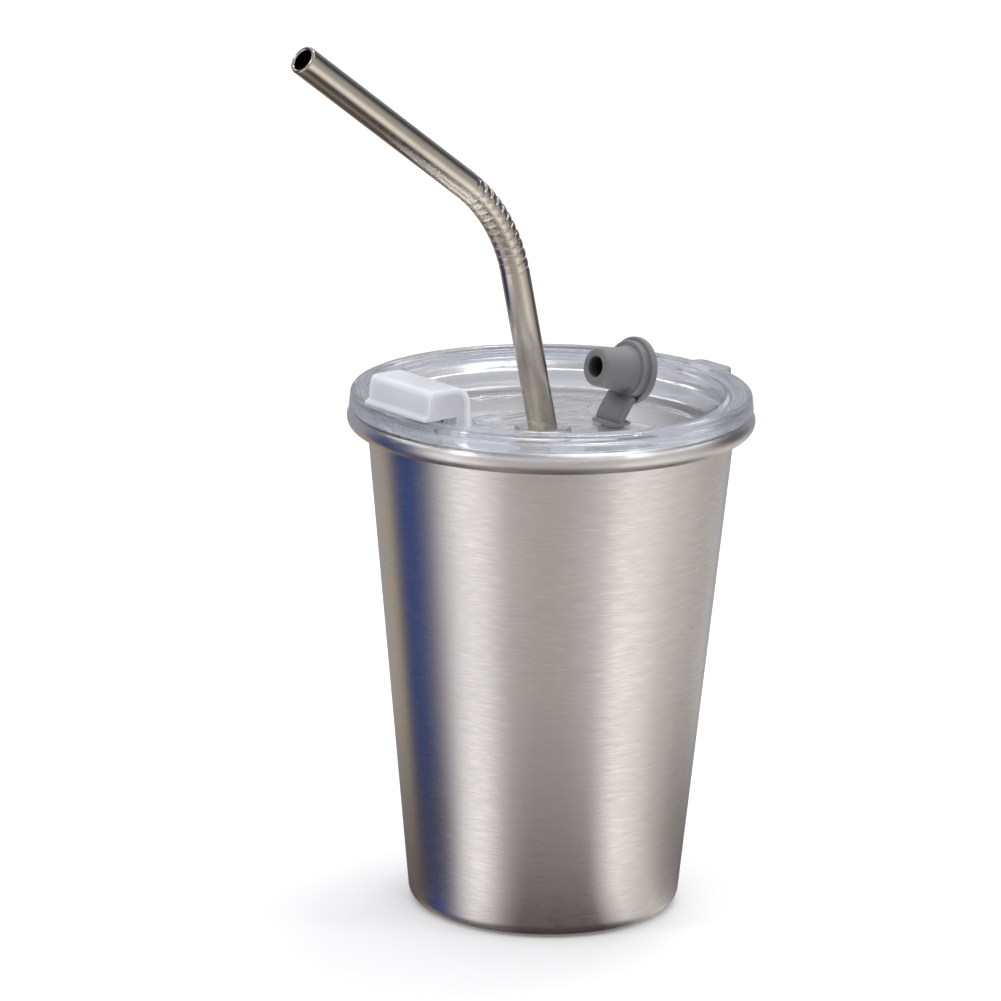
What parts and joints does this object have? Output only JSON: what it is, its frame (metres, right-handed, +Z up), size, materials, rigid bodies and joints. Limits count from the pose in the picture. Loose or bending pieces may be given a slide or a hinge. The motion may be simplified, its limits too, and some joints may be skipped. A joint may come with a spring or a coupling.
{
  "type": "sippy cup",
  "caption": "Tapered steel cup with a clear press-on lid, a hooded drinking spout, a bent metal straw and a soft plug on a strap for the straw hole.",
  "frame": {"origin": "centre of the cup's flat underside, on the surface it stands on", "axes": "+Z up the cup, +X towards the lid's lift tab, so the spout hood is on the -X side and both hinges run along Y"},
  "size_m": [0.1184, 0.0898, 0.1994],
  "materials": {
    "brushed_steel": "satin, brushed round the cup",
    "straw_steel": "drawn and polished",
    "clear_plastic": "clear moulded plastic",
    "frosted_plastic": "translucent, lightly frosted",
    "clear_silicone": "translucent silicone",
    "grey_silicone": "matte moulded silicone"
  },
  "bodies": {
    "cup": {"cup_body": "brushed_steel"},
    "lid_assembly": {"lid": "clear_plastic", "lid_seal_ring": "clear_silicone", "plug_anchor": "grey_silicone"},
    "hood": {"spout_cap": "frosted_plastic", "spout_seal_pad": "clear_silicone"},
    "drinking_straw": {"straw": "straw_steel"},
    "plug": {"straw_plug": "grey_silicone"}
  },
  "joints": [
    {"name": "lid_lift", "type": "slide", "parent": "cup", "child": "lid_assembly", "axis": [0, 0, 1], "range_m": [0, 0.125]},
    {"name": "hood_hinge", "type": "hinge", "parent": "lid_assembly", "child": "hood", "pos_m": [-0.0326, 0, 0.1102], "axis": [0, 1, 0], "range_deg": [0, 90]},
    {"name": "straw_pull", "type": "slide", "parent": "lid_assembly", "child": "drinking_straw", "axis": [-0.2284, 0, 0.9736], "range_m": [0, 0.12]},
    {"name": "plug_strap_bend", "type": "hinge", "parent": "lid_assembly", "child": "plug", "pos_m": [0.0172, 0, 0.10855], "axis": [0, 1, 0], "range_deg": [-20, 35], "stiffness_Nm_per_rad": 0.002}
  ]
}
